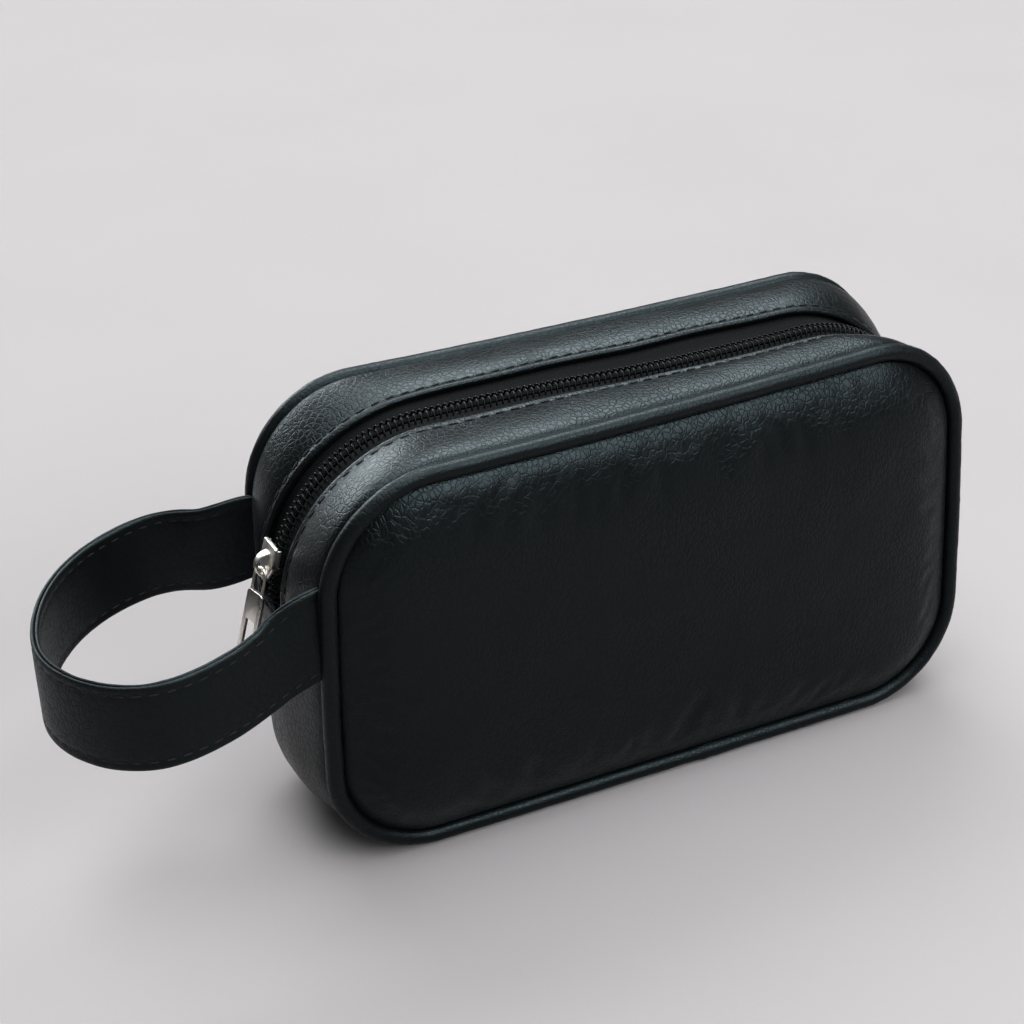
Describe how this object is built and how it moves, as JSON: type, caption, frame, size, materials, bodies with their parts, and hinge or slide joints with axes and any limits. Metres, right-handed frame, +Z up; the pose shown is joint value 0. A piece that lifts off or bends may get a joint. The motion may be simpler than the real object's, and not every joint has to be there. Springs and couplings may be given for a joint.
{
  "type": "makeup bag",
  "caption": "Small padded makeup bag with piped panels, a coil zip over the top and a wrist strap at one end, standing upright on its base.",
  "frame": {"origin": "middle of the flat base, where the bag stands", "axes": "+X along the bag's length away from the strap, +Y from the front panel to the back panel, +Z up"},
  "size_m": [0.2523, 0.0707, 0.1133],
  "materials": {
    "leather": "black pebbled artificial leather with a soft sheen",
    "padding": "grey foam sheet",
    "lining": "black woven polyester lining",
    "piping_cord": "extruded plastic cord",
    "binding": "black non-woven seam tape",
    "zip_tape": "black herringbone polyester tape",
    "zip_coil": "black nylon coil",
    "thread": "black polyester thread",
    "nickel": "satin nickel-plated zinc"
  },
  "bodies": {
    "bag": {"front_panel": "leather", "back_panel": "leather", "front_foam": "padding", "back_foam": "padding", "front_lining": "lining", "back_lining": "lining", "front_piping": "leather", "back_piping": "leather", "front_piping_cord": "piping_cord", "back_piping_cord": "piping_cord", "front_seam_binding": "binding", "back_seam_binding": "binding", "top_gusset_front": "leather", "top_gusset_back": "leather", "bottom_gusset": "leather", "gusset_lining_front": "lining", "gusset_lining_back": "lining", "gusset_lining_bottom": "lining", "zip_tape_front": "zip_tape", "zip_tape_back": "zip_tape", "zip_coil_front": "zip_coil", "zip_coil_back": "zip_coil", "zip_end_stop": "thread", "lip_stitches_front": "thread", "lip_stitches_back": "thread", "strap_end_front": "leather", "strap_end_back": "leather"},
    "slider": {"slider_body": "nickel", "slider_bail": "nickel"},
    "pull_tab": {"pull_tab": "nickel"},
    "strap": {"strap_outer": "leather", "strap_inner": "leather", "strap_stitches_upper": "thread", "strap_stitches_lower": "thread"}
  },
  "joints": [
    {"name": "slider_run", "type": "hinge", "parent": "bag", "child": "slider", "pos_m": [-0.053, 0, 0.071], "axis": [0, 1, 0], "range_deg": [-4, 68]},
    {"name": "tab_swing", "type": "hinge", "parent": "slider", "child": "pull_tab", "pos_m": [-0.09636, 0, 0.08034], "axis": [0, 1, 0], "range_deg": [-4, 150]},
    {"name": "strap_swing", "type": "hinge", "parent": "bag", "child": "strap", "pos_m": [-0.10725, 0, 0.06842], "axis": [0, 1, 0], "range_deg": [-40, 75]}
  ]
}
